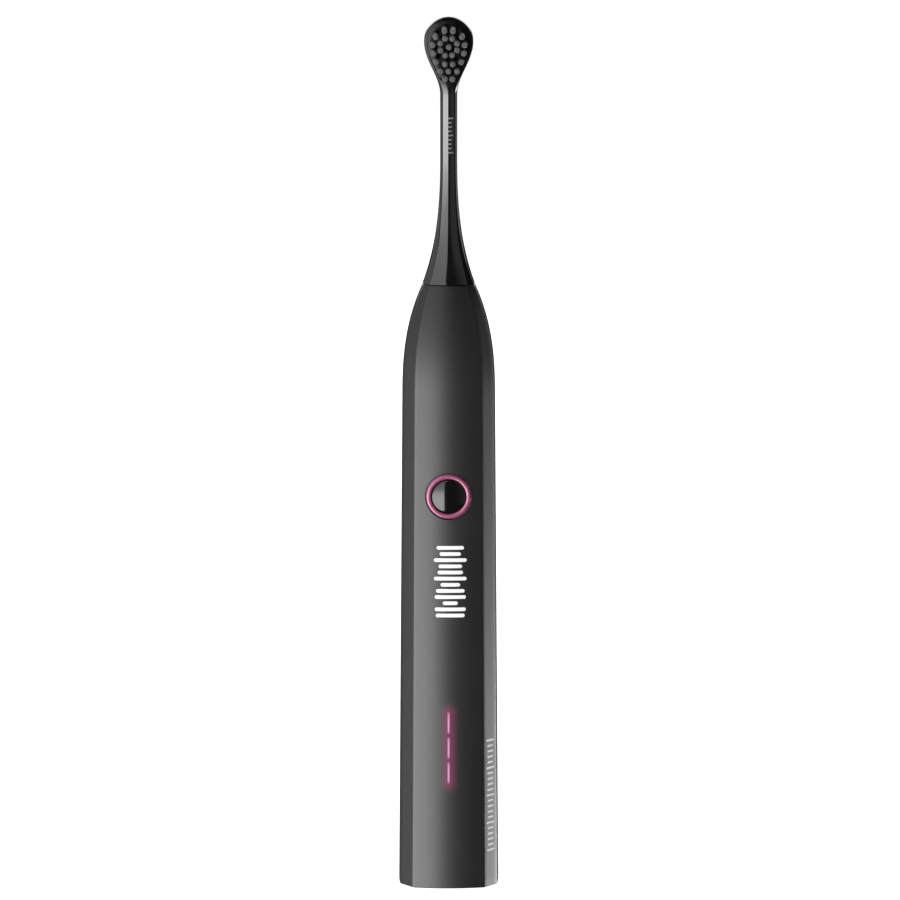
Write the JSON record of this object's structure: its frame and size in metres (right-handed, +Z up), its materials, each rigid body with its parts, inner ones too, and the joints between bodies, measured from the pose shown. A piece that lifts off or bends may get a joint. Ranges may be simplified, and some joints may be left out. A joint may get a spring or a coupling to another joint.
{
  "type": "electric toothbrush",
  "caption": "Slim eight-sided rechargeable sonic toothbrush with a round neck, small round tufted head, ringed button and lit windows.",
  "frame": {"origin": "centre of the base, on the surface the handle stands on", "axes": "+Z up the handle to the brush head, -Y the front with the button and bristles, +X to the right"},
  "size_m": [0.0288, 0.0288, 0.2502],
  "materials": {
    "handle_shell": "satin",
    "gloss_black": "gloss",
    "bristle_fibre": "satin",
    "pink_ring": "gloss",
    "lit_window": "satin",
    "clear_guide": "gloss",
    "seal_rubber": "matte",
    "inner_plastic": "matte",
    "switch_plastic": "matte",
    "board_laminate": "satin",
    "chip_resin": "matte",
    "wire_sleeve": "satin",
    "cell_wrap": "satin",
    "nickel_plate": "satin",
    "plain_steel": "satin",
    "shaft_steel": "polished",
    "motor_iron": "satin",
    "bearing_bronze": "satin",
    "copper_wire": "satin",
    "ferrite": "matte"
  },
  "bodies": {
    "handle": {"housing": "handle_shell", "base_cap": "handle_shell", "base_seal": "seal_rubber", "coil_bobbin": "inner_plastic", "charge_coil": "copper_wire", "ferrite_shield": "ferrite", "chassis": "inner_plastic", "battery_cell": "cell_wrap", "battery_terminal": "nickel_plate", "battery_tab_negative": "nickel_plate", "battery_tab_positive": "nickel_plate", "circuit_board": "board_laminate", "board_screw_lower": "plain_steel", "board_screw_upper": "plain_steel", "charger_chip": "chip_resin", "inductor": "ferrite", "controller_chip": "chip_resin", "capacitor": "nickel_plate", "coil_wire_left": "wire_sleeve", "coil_wire_right": "wire_sleeve", "motor_wire_left": "wire_sleeve", "motor_wire_right": "wire_sleeve", "button_bezel": "pink_ring", "button_seal": "seal_rubber", "tact_switch": "plain_steel", "light_guide": "clear_guide", "light_window_1": "lit_window", "light_window_2": "lit_window", "light_window_3": "lit_window", "light_diode_1": "clear_guide", "light_diode_2": "clear_guide", "light_diode_3": "clear_guide", "motor_can": "plain_steel", "motor_damper": "seal_rubber", "motor_lower_plate": "motor_iron", "motor_upper_plate": "motor_iron", "lower_bearing": "bearing_bronze", "upper_bearing": "bearing_bronze", "stator_core": "motor_iron", "winding_left": "copper_wire", "winding_right": "copper_wire", "spring_anchor": "plain_steel", "torsion_spring": "plain_steel", "shaft_seal": "seal_rubber", "seal_retainer": "switch_plastic"},
    "drive": {"drive_shaft": "shaft_steel", "rotor_yoke": "motor_iron", "magnet_left": "nickel_plate", "magnet_right": "nickel_plate"},
    "brush": {"brush_neck": "gloss_black", "socket_insert": "inner_plastic", "retaining_clip": "plain_steel", "bristle_plate": "bristle_fibre"},
    "button": {"power_button": "gloss_black", "switch_plunger": "switch_plastic"}
  },
  "joints": [
    {"name": "brush_sweep", "type": "hinge", "parent": "handle", "child": "drive", "pos_m": [0, 0, 0.137], "axis": [0, 0, 1], "range_deg": [-5, 5], "stiffness_Nm_per_rad": 0.05},
    {"name": "head_release", "type": "slide", "parent": "drive", "child": "brush", "axis": [0, 0, 1], "range_m": [0, 0.02]},
    {"name": "button_press", "type": "slide", "parent": "handle", "child": "button", "axis": [0, 1, 0], "range_m": [0, 0.0004], "stiffness_N_per_m": 2500}
  ]
}
